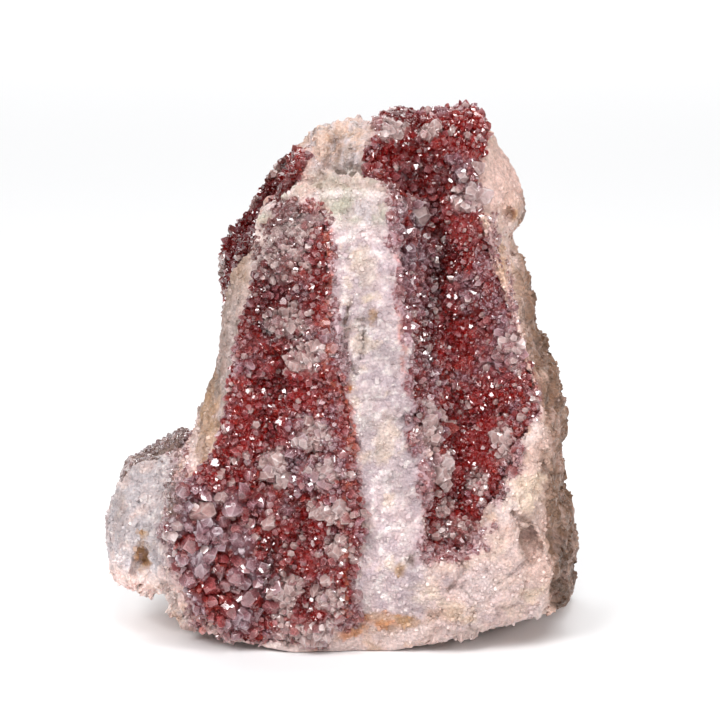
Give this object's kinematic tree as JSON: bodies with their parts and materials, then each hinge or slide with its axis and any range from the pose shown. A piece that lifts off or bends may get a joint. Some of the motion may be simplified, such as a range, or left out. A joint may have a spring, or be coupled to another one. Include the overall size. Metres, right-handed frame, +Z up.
{
  "type": "hematoid quartz specimen",
  "caption": "Free-standing broken block of pale milky quartz whose open hollows are lined with red and mauve drusy quartz crystals.",
  "frame": {"origin": "on the face that the block rests on, under the middle of the box around the specimen", "axes": "+Z up, +X to the right and -Y to the front of a viewer who faces the hollows"},
  "size_m": [0.115, 0.0744, 0.1242],
  "materials": {
    "quartz": "rough, sugary",
    "mauve_druse": "glossy crystal faces",
    "red_druse": "glossy crystal faces"
  },
  "bodies": {
    "root": {"quartz_block": "quartz", "left_druse": "mauve_druse", "right_druse": "red_druse", "rear_druse": "red_druse", "lobe_druse": "mauve_druse"}
  },
  "joints": []
}
